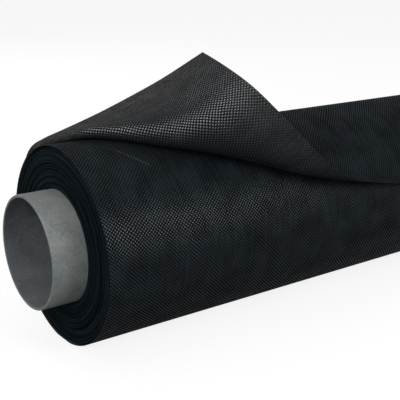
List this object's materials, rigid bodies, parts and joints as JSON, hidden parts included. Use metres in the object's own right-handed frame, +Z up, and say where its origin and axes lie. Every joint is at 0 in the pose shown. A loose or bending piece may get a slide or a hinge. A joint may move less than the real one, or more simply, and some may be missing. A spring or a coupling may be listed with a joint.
{
  "type": "roll of landscape fabric",
  "caption": "Long roll of black dotted ground-cover fabric wound on a grey plastic core that stands out at both ends, with the front corner of its loose end turned up.",
  "frame": {"origin": "middle of the strip that the roll rests on, under the middle of its length", "axes": "+X along the roll away from the end with the turned corner, -Y towards the side that the loose end hangs on, +Z up"},
  "size_m": [1.0452, 0.1489, 0.1853],
  "materials": {
    "core_plastic": "satin grey extruded plastic pipe, faint scuffs",
    "core_tape": "thin tan adhesive tape",
    "fabric_edges": "matt black edges of many wound layers",
    "fabric_face": "black spunbond fleece with a diagonal grid of shiny pressed dots",
    "fabric_underside": "greyish black spunbond fleece with a diagonal grid of shiny pressed dots"
  },
  "bodies": {
    "roll": {"core_tube": "core_plastic", "core_tape": "core_tape", "wound_fabric": "fabric_edges", "outer_turn": "fabric_face"},
    "loose_sheet": {"loose_end": "fabric_face", "turned_corner": "fabric_underside"}
  },
  "joints": [
    {"name": "loose_end_peel", "type": "hinge", "parent": "roll", "child": "loose_sheet", "pos_m": [0, 0.05113, 0.1089], "axis": [-1, 0, 0], "range_deg": [0, 75]}
  ]
}
